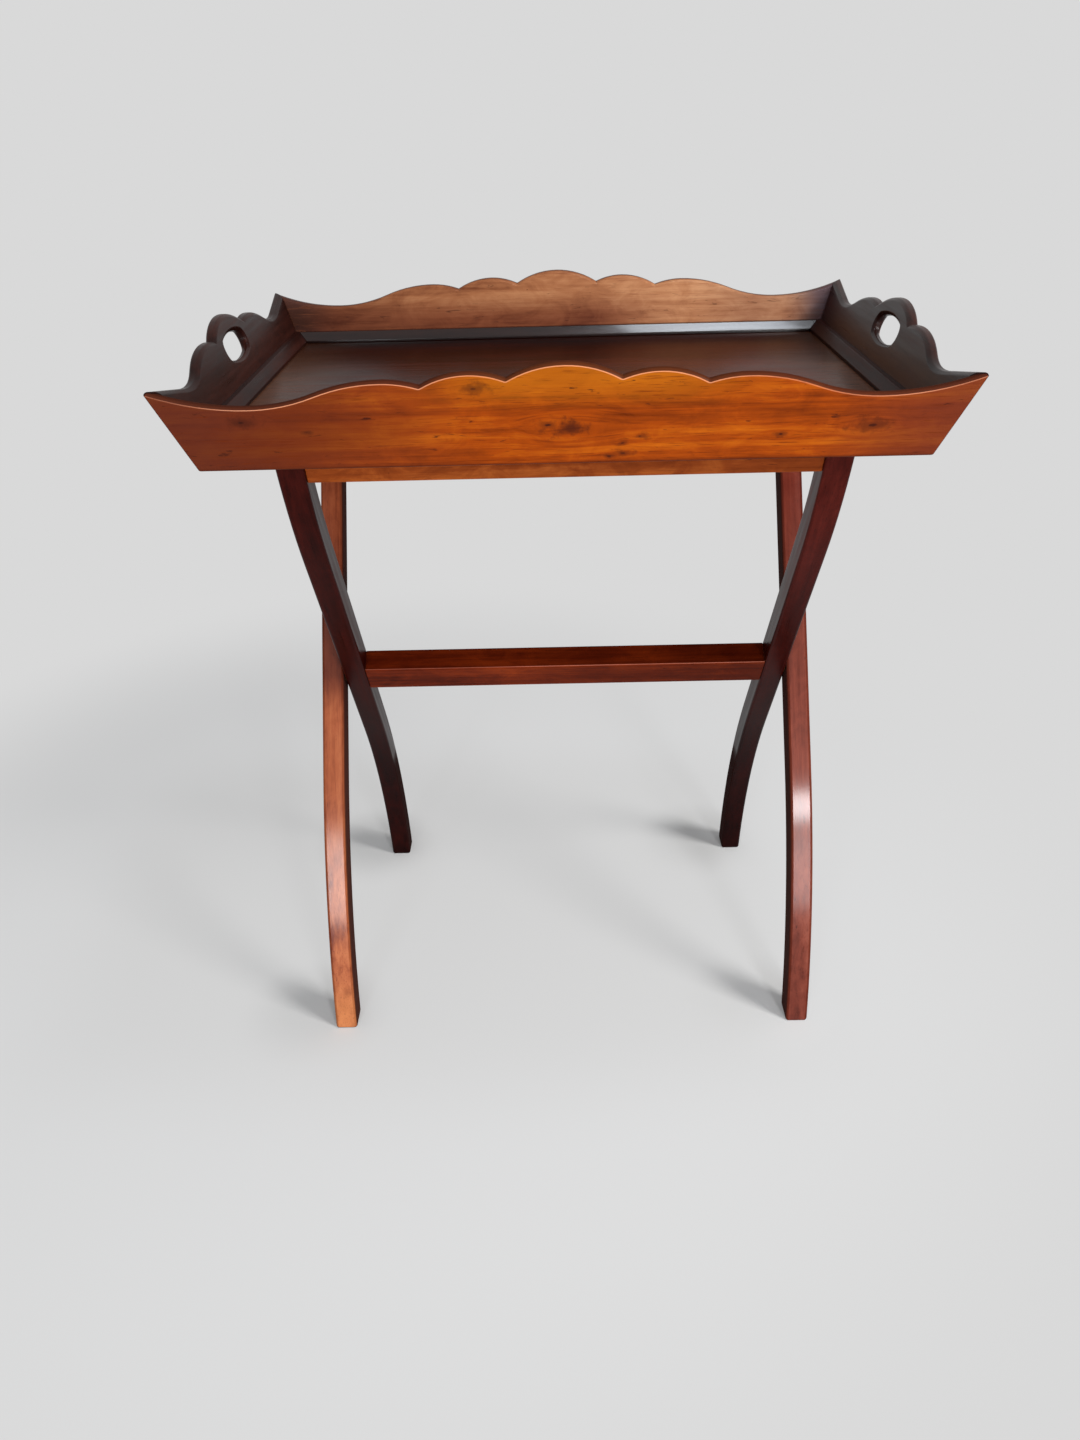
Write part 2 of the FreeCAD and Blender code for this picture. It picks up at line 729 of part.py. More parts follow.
for name, side in (("left", -1.0), ("right", 1.0)):
    label = "inner_leg_" + name
    make_leg(label, inner_leg_x, side, 0.0, [
        mortise(label + "_rail_mortise", inner_leg_x, side, rail_y, rail_level, rail_tilt),
        mortise(label + "_stretcher_mortise", inner_leg_x, side, ZERO, pivot, leg_lean),
        bolt_bore(label + "_bore", side, inner_leg_x, thick * 2),
    ])

head_bore = cell("bolt_head_diameter") + cell("groove_clearance") * 2
head_depth = cell("bolt_head_thickness") + cell("head_recess")
for name, side in (("left", 1.0), ("right", -1.0)):
    label = "outer_leg_" + name
    outer_face = outer_leg_x + thick / 2
    recess = rod(label + "_recess", head_bore, head_depth + OVERRUN,
                 ((outer_face - head_depth if side > 0 else -outer_face - OVERRUN), ZERO, pivot))
    make_leg(label, outer_leg_x, side, 180.0, [
        mortise(label + "_rail_mortise", outer_leg_x, side, rail_y, rail_level, rail_tilt),
        bolt_bore(label + "_bore", side, outer_leg_x, thick * 2),
        recess,
    ])

make_rail("front_rail", inner_leg_x, 0.0)
make_rail("rear_rail", outer_leg_x, 180.0)

inner_face_x = inner_leg_x - thick / 2
stretcher_bar = bar("stretcher", "stretcher", inner_face_x * 2, ZERO, pivot, leg_lean, cell("stretcher_lift"))
bolt_end = inner_face_x - cell("bolt_grip")
bore_length = thick + cell("bolt_grip") + cell("bolt_clearance")
bores = [bolt_bore(f"stretcher_bore_{name}", side, bolt_end - cell("bolt_clearance") + bore_length / 2, bore_length)
         for name, side in (("left", -1.0), ("right", 1.0))]
finish(cut("stretcher_cut", stretcher_bar, bores), "stretcher")


# Pivots

def make_bolt(name, turn):
    """Slotted bolt on the pivot's axis, drawn on the right-hand side."""
    body = new_body(name + "_turned")
    head_top = outer_leg_x + thick / 2 - cell("head_recess")
    head_under = head_top - cell("bolt_head_thickness")
    shank, head = cell("bolt_diameter") / 2, cell("bolt_head_diameter") / 2
    corners = [(bolt_end, ZERO), (head_top, ZERO), (head_top, head), (head_under, head),
               (head_under, shank), (bolt_end, shank)]
    outline = new_sketch(body, name + "_outline", "XY_Plane")
    draw(outline, corners, {})
    turned = body.newObject("PartDesign::Revolution", name + "_revolution")
    turned.Profile = outline
    turned.ReferenceAxis = (outline, ["H_Axis"])
    turned.Angle = 360.0
    doc.recompute()
    slot = box(name + "_slot", (cell("slot_depth") * 2, cell("bolt_head_diameter") * 2, cell("slot_width")),
               (head_top, ZERO, ZERO))
    return turn_about_z(cut(name, body, [slot]), turn)


def make_washer(name, side):
    start = (inner_leg_x + outer_leg_x) / 2 * side - cell("washer_thickness") / 2
    disc = rod(name + "_disc", cell("washer_diameter"), cell("washer_thickness"), (start, ZERO, ZERO))
    hole = rod(name + "_hole", cell("bolt_diameter") + cell("bolt_clearance") * 2, cell("washer_thickness") * 3,
               (start - cell("washer_thickness"), ZERO, ZERO))
    return cut(name, disc, [hole])


bolts = [make_bolt("bolt_left", 180.0), make_bolt("bolt_right", 0.0)]
finish(group("bolts", bolts), "pivot_bolts", pivot)
washers = [make_washer("washer_left", -1.0), make_washer("washer_right", 1.0)]
finish(group("washers", washers), "pivot_washers", pivot)


# Straps and their tacks

for name, side in (("left", -1.0), ("right", 1.0)):
    label = "strap_" + name
    web = box(label + "_web", (cell("strap_width"), strap_end * 2, cell("strap_thickness")),
              (strap_x * side, ZERO, strap_bottom + cell("strap_thickness") / 2))
    places = tack_places(strap_x * side)
    bores = tack_bores(label + "_front", places, rail_top_y) + tack_bores(label + "_rear", places, -rail_top_y)
    finish(cut(label + "_bored", web, bores), label)


def make_tack(name, x):
    head = doc.addObject("Part::Cone", name + "_head")
    bind(head, Radius1=cell("tack_head_diameter") / 2, Radius2=cell("tack_crown_diameter") / 2,
         Height=cell("tack_head_thickness"),
         Placement__Base__x=x, Placement__Base__y=rail_top_y, Placement__Base__z=tack_level)
    return join(name, [head, tack_shank(name + "_shank", x, rail_top_y)])


for label, turn in (("front_strap_tacks", 0.0), ("rear_strap_tacks", 180.0)):
    tacks = [make_tack(f"{label}_{i}", x) for i, x in enumerate(both_straps, start=1)]
    finish(group(label + "_group", tacks), label, ZERO, turn)


# Check and write

doc.recompute()
for item in doc.Objects:
    if "Invalid" in item.State or "Error" in item.State:
        raise RuntimeError(f"{item.Label} failed: {item.State}")
for item in nodes:
    if item.Shape.isNull() or not item.Shape.isValid() or not item.Shape.Solids:
        raise RuntimeError(f"{item.Label} has no valid solid")

os.makedirs("parts", exist_ok=True)
for item in nodes:
    item.Shape.exportStep(f"parts/{item.Label}.step")
print(len(nodes), "sub-parts written")
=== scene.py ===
import bpy
import bmesh
import math
from mathutils import Matrix, Vector


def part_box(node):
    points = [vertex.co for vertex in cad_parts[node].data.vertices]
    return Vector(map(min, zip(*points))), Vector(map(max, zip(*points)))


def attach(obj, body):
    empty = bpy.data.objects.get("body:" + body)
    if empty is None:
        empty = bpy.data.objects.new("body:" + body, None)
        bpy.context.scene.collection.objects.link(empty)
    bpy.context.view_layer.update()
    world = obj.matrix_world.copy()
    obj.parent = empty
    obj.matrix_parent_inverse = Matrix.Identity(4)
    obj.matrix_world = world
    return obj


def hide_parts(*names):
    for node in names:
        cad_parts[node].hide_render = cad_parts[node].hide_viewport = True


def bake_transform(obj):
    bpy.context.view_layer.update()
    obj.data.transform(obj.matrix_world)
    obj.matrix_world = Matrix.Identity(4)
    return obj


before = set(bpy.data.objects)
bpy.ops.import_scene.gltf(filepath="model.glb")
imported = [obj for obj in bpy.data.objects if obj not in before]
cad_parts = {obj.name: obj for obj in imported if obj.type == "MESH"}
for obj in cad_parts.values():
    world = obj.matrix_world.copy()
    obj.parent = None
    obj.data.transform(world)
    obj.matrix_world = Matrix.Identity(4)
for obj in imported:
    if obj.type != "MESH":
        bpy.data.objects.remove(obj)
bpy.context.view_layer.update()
scene = bpy.context.scene
quarter = math.pi / 2
print("frame loaded:", len(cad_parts), "nodes")


def tone(red, green, blue):  # screen colour 0 to 255, as the shader wants it
    def straight(level):
        share = level / 255.0
        return share / 12.92 if share <= 0.04045 else ((share + 0.055) / 1.055) ** 2.4
    return (straight(red), straight(green), straight(blue), 1.0)


def placePiece(bm, name, material):  # turns a finished bmesh into an object of the scene
    mesh = bpy.data.meshes.new(name)
    bm.to_mesh(mesh)
    bm.free()
    mesh.materials.append(material)
    piece = bpy.data.objects.new(name, mesh)
    scene.collection.objects.link(piece)
    return piece


class Graph:  # shorthand for building a material's nodes
    def __init__(self, tree):
        self.tree = tree

    def add(self, kind, **settings):
        made = self.tree.nodes.new(kind)
        for name, value in settings.items():
            if hasattr(made, name):
                setattr(made, name, value)
            else:
                made.inputs[name].default_value = value
        return made

    def feed(self, value, socket):  # a plain value or another node's output
        if isinstance(value, (int, float, tuple)):
            socket.default_value = value
        else:
            self.tree.links.new(value, socket)

    def math(self, operation, first, second=0.0, third=0.0):
        made = self.add("ShaderNodeMath", operation=operation)
        for socket, value in zip(made.inputs, (first, second, third)):
            self.feed(value, socket)
        return made.outputs[0]

    def vector(self, operation, *values):
        made = self.add("ShaderNodeVectorMath", operation=operation)
        sockets = [made.inputs[0], made.inputs["Scale"]] if operation == "SCALE" else made.inputs
        for socket, value in zip(sockets, values):
            self.feed(value, socket)
        return made.outputs["Value" if operation in ("DISTANCE", "LENGTH") else "Vector"]

    def axes(self, vector):
        made = self.add("ShaderNodeSeparateXYZ")
        self.feed(vector, made.inputs[0])
        return made.outputs

    def noise(self, point, scale, detail, rough=0.5, twist=0.0):
        made = self.add("ShaderNodeTexNoise", Scale=scale, Detail=detail, Roughness=rough, Distortion=twist)
        self.feed(point, made.inputs["Vector"])
        return made.outputs["Fac"]

    def spread(self, value, low, high, fromNew, toNew, kind="SMOOTHSTEP"):
        made = self.add("ShaderNodeMapRange", interpolation_type=kind)
        self.feed(value, made.inputs["Value"])
        for name, level in (("From Min", low), ("From Max", high), ("To Min", fromNew), ("To Max", toNew)):
            made.inputs[name].default_value = level
        return made.outputs["Result"]

    def ramp(self, factor, stops):
        made = self.add("ShaderNodeValToRGB")
        bar = made.color_ramp.elements
        while len(bar) < len(stops):
            bar.new(0.5)
        for element, (place, colour) in zip(bar, stops):
            element.position = place
            element.color = colour
        self.feed(factor, made.inputs["Fac"])
        return made.outputs["Color"]

    def mix(self, factor, first, second, blend="MIX"):
        made = self.add("ShaderNodeMix", data_type="RGBA", blend_type=blend)
        for name, value in (("Factor_Float", factor), ("A_Color", first), ("B_Color", second)):
            self.feed(value, next(socket for socket in made.inputs if socket.identifier == name))
        return next(socket for socket in made.outputs if socket.identifier == "Result_Color")

    def blend(self, factor, first, second):  # two shaders
        made = self.add("ShaderNodeMixShader")
        for socket, value in zip(made.inputs, (factor, first.outputs[0], second.outputs[0])):
            self.feed(value, socket)
        return made.outputs[0]

    def bump(self, height, strength, depth):
        made = self.add("ShaderNodeBump", Strength=strength, Distance=depth)
        self.feed(height, made.inputs["Height"])
        return made.outputs["Normal"]


# camera

viewPoint = {
    "place": (-0.0127, -1.0963, 0.9316),
    "yaw": -0.0148,          # radians, as the next two
    "dip": 0.5221,
    "roll": -0.027,
    "lens": 27.365,          # millimetres, as the film
    "filmHeight": 36.0,
    "farthest": 200.0,
}


def placeCamera(setup):
    yaw, dip, roll = setup["yaw"], setup["dip"], setup["roll"]
    ahead = Vector((math.sin(yaw) * math.cos(dip), math.cos(yaw) * math.cos(dip), -math.sin(dip)))
    level = Vector((math.cos(yaw), -math.sin(yaw), 0.0))
    rise = level.cross(ahead)
    right = level * math.cos(roll) + rise * math.sin(roll)
    up = rise * math.cos(roll) - level * math.sin(roll)
    data = bpy.data.cameras.new("viewCamera")
    data.sensor_fit = "VERTICAL"
    data.sensor_height = setup["filmHeight"]
    data.lens = setup["lens"]
    data.clip_end = setup["farthest"]
    camera = bpy.data.objects.new("viewCamera", data)
    turn = Matrix((right, up, -ahead)).transposed().to_4x4()
    camera.matrix_world = Matrix.Translation(setup["place"]) @ turn
    scene.collection.objects.link(camera)
    scene.camera = camera


# world and floor

stageLook = {
    "grey": tone(217, 217, 217),
    "light": tone(255, 255, 255),
    "ambient": 0.26,
    "floorShade": 0.775,     # floor's own colour where it catches light and shadow
    "shadowShare": 0.36,     # how much of the shadow shows under the table
    "footShare": 0.95,       # and close to a foot
    "feet": [                # middles of the feet's own shadows, a little left of the feet
        (-0.298, -0.155, 0.0), (0.218, -0.155, 0.0),
        (-0.272, 0.177, 0.0), (0.192, 0.177, 0.0),
    ],
    "footReach": (0.02, 0.1),
    "fadeCentre": (-0.25, 0.15, 0.0),
    "fadeReach": (0.5, 1.0),
    "floorSize": 60.0,
}


def seenDirectly(graph):  # 1 for rays that show the background, 0 for rays that carry light
    path = graph.add("ShaderNodeLightPath")
    shown = graph.math("MAXIMUM", path.outputs["Is Camera Ray"], path.outputs["Is Glossy Ray"])
    return graph.math("MAXIMUM", shown, path.outputs["Is Transmission Ray"])


def setWorld(look):
    world = bpy.data.worlds.new("studioWorld")
    scene.world = world
    world.use_nodes = True
    world.node_tree.nodes.clear()
    graph = Graph(world.node_tree)
    pale = graph.add("ShaderNodeBackground", Color=look["grey"], Strength=1.0)
    soft = graph.add("ShaderNodeBackground", Color=look["light"], Strength=look["ambient"])
    surface = graph.blend(seenDirectly(graph), soft, pale)
    graph.feed(surface, graph.add("ShaderNodeOutputWorld").inputs["Surface"])


def shadowKept(graph, look):  # share of the real shadow, by place on the floor
    place = graph.add("ShaderNodeTexCoord").outputs["Object"]
    gaps = [graph.vector("DISTANCE", place, foot) for foot in look["feet"]]
    nearest = gaps[0]
    for gap in gaps[1:]:
        nearest = graph.math("MINIMUM", nearest, gap)
    kept = graph.spread(nearest, *look["footReach"], look["footShare"], look["shadowShare"])
    off = graph.vector("DISTANCE", place, look["fadeCentre"])
    return graph.math("MULTIPLY", kept, graph.spread(off, *look["fadeReach"], 1.0, 0.0))


def layFloor(look):
    material = bpy.data.materials.new("studioFloor")
    material.use_nodes = True
    material.node_tree.nodes.clear()
    graph = Graph(material.node_tree)
    shade = look["floorShade"]
    matt = graph.add("ShaderNodeBsdfDiffuse", Color=(shade, shade, shade, 1.0))
    plain = graph.add("ShaderNodeEmission", Color=look["grey"], Strength=1.0)
    bare = graph.math("SUBTRACT", 1.0, shadowKept(graph, look))
    surface = graph.blend(graph.math("MULTIPLY", bare, seenDirectly(graph)), matt, plain)
    graph.feed(surface, graph.add("ShaderNodeOutputMaterial").inputs["Surface"])
    bm = bmesh.new()
    bmesh.ops.create_grid(bm, x_segments=1, y_segments=1, size=look["floorSize"] / 2)
    placePiece(bm, "studioFloor", material)


# lamps

lamps = {
    "frontWindow": {
        "place": (0.1, -3.0, 0.72), "aim": (0.0, 0.0, 0.5),
        "size": (2.4, 1.2), "power": 35.0, "colour": (0.94, 0.98, 1.0),
    },
    "rightSoftbox": {
        "place": (2.2, -1.3, 2.3), "aim": (0.0, 0.0, 0.3),
        "size": (0.8, 0.8), "power": 62.0, "colour": (1.0, 0.99, 0.97),
    },
    "leftPane": {            # long highlight on the left outer leg
        "place": (-0.85, -3.0, 0.63), "aim": (-0.2, -0.1, 0.3),
        "size": (0.45, 1.2), "power": 22.0, "colour": (0.86, 0.96, 1.0),
    },
    "rightPane": {           # and the two on the right one
        "place": (0.89, -3.0, 0.62), "aim": (0.2, -0.1, 0.3),
        "size": (0.45, 0.9), "power": 7.5, "colour": (0.94, 0.98, 1.0),
    },
    "rightPeak": {
        "place": (0.97, -3.0, 1.56), "aim": (0.2, -0.1, 0.3),
        "size": (0.36, 0.36), "power": 25.0, "colour": (0.97, 0.98, 1.0),
    },
    "skyPanel": {            # gleam on the rear bead
        "place": (0.46, -0.17, 2.7), "aim": (0.2, 0.2, 0.69),
        "size": (0.4, 0.4), "power": 11.0, "colour": (0.86, 0.92, 1.0),
    },
}


def hangLamps(plan):
    for name, lamp in plan.items():
        data = bpy.data.lights.new(name, "AREA")
        data.shape = "RECTANGLE"
        data.size, data.size_y = lamp["size"]
        data.energy = lamp["power"]
        data.color = lamp["colour"]
        light = bpy.data.objects.new(name, data)
        light.location = lamp["place"]
        ahead = Vector(lamp["aim"]) - Vector(lamp["place"])
        light.rotation_euler = ahead.to_track_quat("-Z", "Y").to_euler()
        scene.collection.objects.link(light)


placeCamera(viewPoint)
setWorld(stageLook)
layFloor(stageLook)
hangLamps(lamps)
scene.view_settings.view_transform = "Standard"
print("camera, floor and lamps set")


# varnished mahogany: what all its looks share

woodGrain = {                # stretch is along the grain, then across it twice
    "bands": {"stretch": (2.6, 34.0, 34.0), "detail": 3.0, "rough": 0.5, "twist": 0.5},
    "lines": {"stretch": (8.0, 170.0, 170.0), "detail": 3.0, "rough": 0.6, "twist": 0.2},
    "fibres": {"stretch": (45.0, 950.0, 950.0), "detail": 2.0, "rough": 0.55, "twist": 0.0},
    "clouds": {"stretch": (3.2, 7.0, 7.0), "detail": 2.0, "rough": 0.55, "twist": 0.0},
    "figure": {"stretch": (26.0, 44.0, 44.0), "detail": 4.0, "rough": 0.65, "twist": 1.2},
    "specks": {"stretch": (55.0, 260.0, 260.0), "detail": 3.0, "rough": 0.6, "twist": 0.8},
}
knotShape = {
    "ragged": {"scale": 150.0, "detail": 3.0, "rough": 0.6},
    "raggedGain": 2.6,
    "raggedLevel": -0.3,
    "stretch": (0.42, 1.0, 1.0),  # longer along the grain than across it
    "pull": 0.75,
    "core": (0.1, 0.55),     # darkest and clear, in sizes of the knot
    "halo": (0.2, 1.7),
}
woodSpans = {                # where an effect starts and is full, on its noise or on a face's direction
    "tones": (0.36, 0.5, 0.64),
    "patina": (0.5, 0.72),
    "flecks": (0.64, 0.74),
    "pores": (0.56, 0.7),
    "farSide": (0.82, 0.92),
    "joint": (0.5, 0.8),
    "front": (-0.2, -0.45),
    "highlightPatches": (0.38, 0.62),
    "inward": (-0.5, -0.8),
    "gloss": (0.3, 0.7),
}
woodPolish = {
    "jointShare": 0.8,
    "leastArrisHighlight": 0.15,
    "coatIndex": 1.5,
    "fibreRelief": 0.4,
    "lineRelief": 0.6,
    "grainBump": (0.18, 0.0004),   # strength and depth
    "planedBump": (0.25, 0.0006),  # hand-planed surface under the varnish
}


def startMaterial(name):
    material = bpy.data.materials.new(name)
    material.use_nodes = True
    return material, Graph(material.node_tree), material.node_tree.nodes["Principled BSDF"]


def layGrain(graph, place, look):  # turns the grain along the piece
    turned = graph.add("ShaderNodeMapping", vector_type="POINT")
    turned.inputs["Rotation"].default_value = look["turn"]
    turned.inputs["Location"].default_value = look["shift"]
    graph.feed(place, turned.inputs["Vector"])
    return turned.outputs["Vector"]


def bendRoundKnots(graph, place, along, look):  # grain swells round each knot, which is dark
    if "knots" not in look:
        return along, None
    ragged = graph.noise(place, **knotShape["ragged"])
    tear = graph.math("MULTIPLY_ADD", ragged, knotShape["raggedGain"], knotShape["raggedLevel"])
    shade = None
    for knot in look["knots"]:
        away = graph.vector("SUBTRACT", knot["place"], along)
        reach = graph.vector("LENGTH", graph.vector("MULTIPLY", away, knotShape["stretch"]))
        pull = graph.spread(reach, 0.0, knot["swell"], knotShape["pull"], 0.0)
        along = graph.vector("ADD", along, graph.vector("SCALE", away, pull))
        torn = graph.math("MULTIPLY", reach, tear)
        for part in ("halo", "core"):
            darkest, clear = knotShape[part]
            dark = graph.spread(torn, knot["size"] * darkest, knot["size"] * clear, knot[part], 0.0)
            shade = dark if shade is None else graph.math("MAXIMUM", shade, dark)
    return along, shade


def grainNoise(graph, along, pattern):
    stretched = graph.vector("MULTIPLY", along, pattern["stretch"])
    return graph.noise(stretched, 1.0, pattern["detail"], pattern["rough"], pattern["twist"])


def threeTones(graph, level, tones):
    return graph.ramp(level, list(zip(woodSpans["tones"], (tones["dark"], tones["middle"], tones["light"]))))


def bodyColour(graph, grain, spot, facing, look):
    lineShare, bandShare, figureShare = look["grain"]
    level = graph.math("MULTIPLY", grain["figure"], figureShare)
    level = graph.math("MULTIPLY_ADD", grain["bands"], bandShare, level)
    level = graph.math("MULTIPLY_ADD", grain["lines"], lineShare, level)
    colour = threeTones(graph, level, look)
    if "farSide" in look:    # the face that turns away from the tray's middle
        side = look["farSide"]
        outward = graph.math("MULTIPLY", graph.math("SIGN", spot[side["axis"]]), facing[side["axis"]])
        share = graph.spread(outward, *woodSpans["farSide"], 0.0, 1.0)
        colour = graph.mix(share, colour, threeTones(graph, level, side))
    return colour


def fadeByPlace(graph, colour, clouds, spot, look):  # by the distance from a middle along one axis
    for fade in look.get("fades", []):
        off = graph.math("ABSOLUTE", graph.math("SUBTRACT", spot[fade["axis"]], fade["middle"]))
        off = graph.math("ADD", off, -fade["wave"] / 2)
        wavy = graph.math("MULTIPLY_ADD", clouds, fade["wave"], off)
        share = graph.spread(wavy, fade["from"], fade["to"], 0.0, fade["share"])
        if "only" in fade:   # and only in one part of another axis
            axis, none, full = fade["only"]
            share = graph.math("MULTIPLY", share, graph.spread(spot[axis], none, full, 0.0, 1.0))
        colour = graph.mix(share, colour, fade["colour"], fade["blend"])
    return colour


def ageWood(graph, colour, grain, knots, look):
    patina = graph.spread(grain["clouds"], *woodSpans["patina"], 0.0, look["patina"])
    colour = graph.mix(patina, colour, look["dark"])
    flecks = graph.spread(grain["specks"], *woodSpans["flecks"], 0.0, look["flecks"])
    colour = graph.mix(flecks, colour, look["fleckColour"])
    pores = graph.spread(grain["fibres"], *woodSpans["pores"], 0.0, look["pores"])
    colour = graph.mix(pores, colour, look["dark"])
    if knots is not None:
        colour = graph.mix(knots, colour, look["fleckColour"])
    return colour


def shadeFacesDarkenJoints(graph, colour, facing, look):
    for faceShade in look.get("paintedFaceShades", []):  # painted shade on faces that look up or down
        share = graph.spread(facing["Z"], faceShade["from"], faceShade["to"], 0.0, faceShade["share"])
        colour = graph.mix(share, colour, faceShade["colour"], faceShade["blend"])
    if "joint" in look:      # old polish in the joint at each end
        endward = graph.math("ABSOLUTE", facing["X"])
        share = graph.spread(endward, *woodSpans["joint"], 0.0, woodPolish["jointShare"])
        colour = graph.mix(share, colour, look["joint"])
    return colour


def paintArrisHighlight(graph, colour, clouds, facing, look):  # painted highlight: a pale line on the front arris, stronger in places
    if "paintedArrisHighlight" not in look:
        return colour
    line = look["paintedArrisHighlight"]
    rising = graph.spread(facing["Z"], line["from"], line["peak"], 0.0, 1.0)
    falling = graph.spread(facing["Z"], line["peak"], line["to"], 1.0, 0.0)
    frontward = graph.spread(facing["Y"], *woodSpans["front"], 0.0, 1.0)
    highlightPatches = graph.spread(clouds, *woodSpans["highlightPatches"], woodPolish["leastArrisHighlight"], line["share"])
    upward = graph.math("MULTIPLY", rising, falling)
    share = graph.math("MULTIPLY", upward, graph.math("MULTIPLY", frontward, highlightPatches))
    return graph.mix(share, colour, line["colour"])


def mattShadedSides(graph, colour, spot, facing, look):  # painted shade, and less gloss, on faces towards the stand's middle
    if "mattShadedSides" not in look:
        return colour, None
    side = look["mattShadedSides"]
    outward = graph.math("MULTIPLY", graph.math("SIGN", spot["X"]), facing["X"])
    inward = graph.spread(outward, *woodSpans["inward"], 0.0, 1.0)
    below = graph.spread(spot["Z"], side["above"], side["below"], 0.0, 1.0)
    dull = graph.math("MULTIPLY", inward, below)
    colour = graph.mix(graph.math("MULTIPLY", dull, side["share"]), colour, side["colour"])
    if "edges" in look:      # darker along the arrises
        mark = graph.add("ShaderNodeAttribute", attribute_name="wornEdge").outputs["Fac"]
        share = graph.math("MULTIPLY", mark, look["edges"]["share"])
        colour = graph.mix(share, colour, look["edges"]["colour"])
        dull = graph.math("MAXIMUM", dull, mark)
    return colour, dull


def varnishWood(graph, shader, grain, facing, dull, look):
    rough = graph.spread(grain["lines"], *woodSpans["gloss"], *look["gloss"], "LINEAR")
    if "mattTop" in look:    # little polish left on the top edge
        rough = graph.math("MAXIMUM", rough, graph.spread(facing["Z"], *look["mattTop"], 0.0, 1.0))
    shader.inputs["Coat Weight"].default_value = look["varnish"]
    if dull is not None:
        rough = graph.math("MAXIMUM", rough, dull)
        if look["varnish"] > 0.0:
            left = graph.spread(dull, 0.0, 1.0, look["varnish"], 0.0, "LINEAR")
            graph.feed(left, shader.inputs["Coat Weight"])
    graph.feed(rough, shader.inputs["Roughness"])
    shader.inputs["Specular IOR Level"].default_value = look["shine"]
    shader.inputs["Coat Roughness"].default_value = look["varnishBlur"]
    shader.inputs["Coat IOR"].default_value = woodPolish["coatIndex"]
    relief = graph.math("MULTIPLY", grain["lines"], woodPolish["lineRelief"])
    relief = graph.math("MULTIPLY_ADD", grain["fibres"], woodPolish["fibreRelief"], relief)
    graph.feed(graph.bump(relief, *woodPolish["grainBump"]), shader.inputs["Normal"])
    graph.feed(graph.bump(grain["clouds"], *woodPolish["planedBump"]), shader.inputs["Coat Normal"])


def makeWood(name, look):
    material, graph, shader = startMaterial(name)
    place = graph.add("ShaderNodeTexCoord")
    spot = graph.axes(place.outputs["Object"])
    facing = graph.axes(place.outputs["Normal"])
    along = layGrain(graph, place.outputs["Object"], look)
    along, knots = bendRoundKnots(graph, place.outputs["Object"], along, look)
    grain = {kind: grainNoise(graph, along, pattern) for kind, pattern in woodGrain.items()}
    colour = bodyColour(graph, grain, spot, facing, look)
    colour = fadeByPlace(graph, colour, grain["clouds"], spot, look)
    colour = ageWood(graph, colour, grain, knots, look)
    colour = shadeFacesDarkenJoints(graph, colour, facing, look)
    colour = paintArrisHighlight(graph, colour, grain["clouds"], facing, look)
    colour, dull = mattShadedSides(graph, colour, spot, facing, look)
    graph.feed(colour, shader.inputs["Base Color"])
    varnishWood(graph, shader, grain, facing, dull, look)
    return material


# mahogany looks, one for each kind of piece

plainMahogany = {
    "turn": (0.0, 0.0, 0.0),
    "shift": (0.0, 0.0, 0.0),
    "dark": tone(84, 28, 14),
    "middle": tone(128, 50, 22),
    "light": tone(160, 74, 34),
    "grain": (0.35, 0.4, 0.25),  # shares of lines, bands and figure
    "fleckColour": tone(36, 12, 8),
    "flecks": 0.6,
    "patina": 0.4,
    "pores": 0.4,
    "gloss": (0.26, 0.4),    # roughness, least and most
    "shine": 0.2,
    "varnish": 0.1,
    "varnishBlur": 0.08,
}
outsideTones = {"dark": tone(92, 32, 8), "middle": tone(134, 56, 16), "light": tone(164, 82, 30)}
# dark tones of the tray's inside; on the end boards a painted shade, as their outsides keep the outside
# tones
darkInsideTones = {"dark": tone(24, 10, 8), "middle": tone(40, 17, 13), "light": tone(58, 26, 19)}

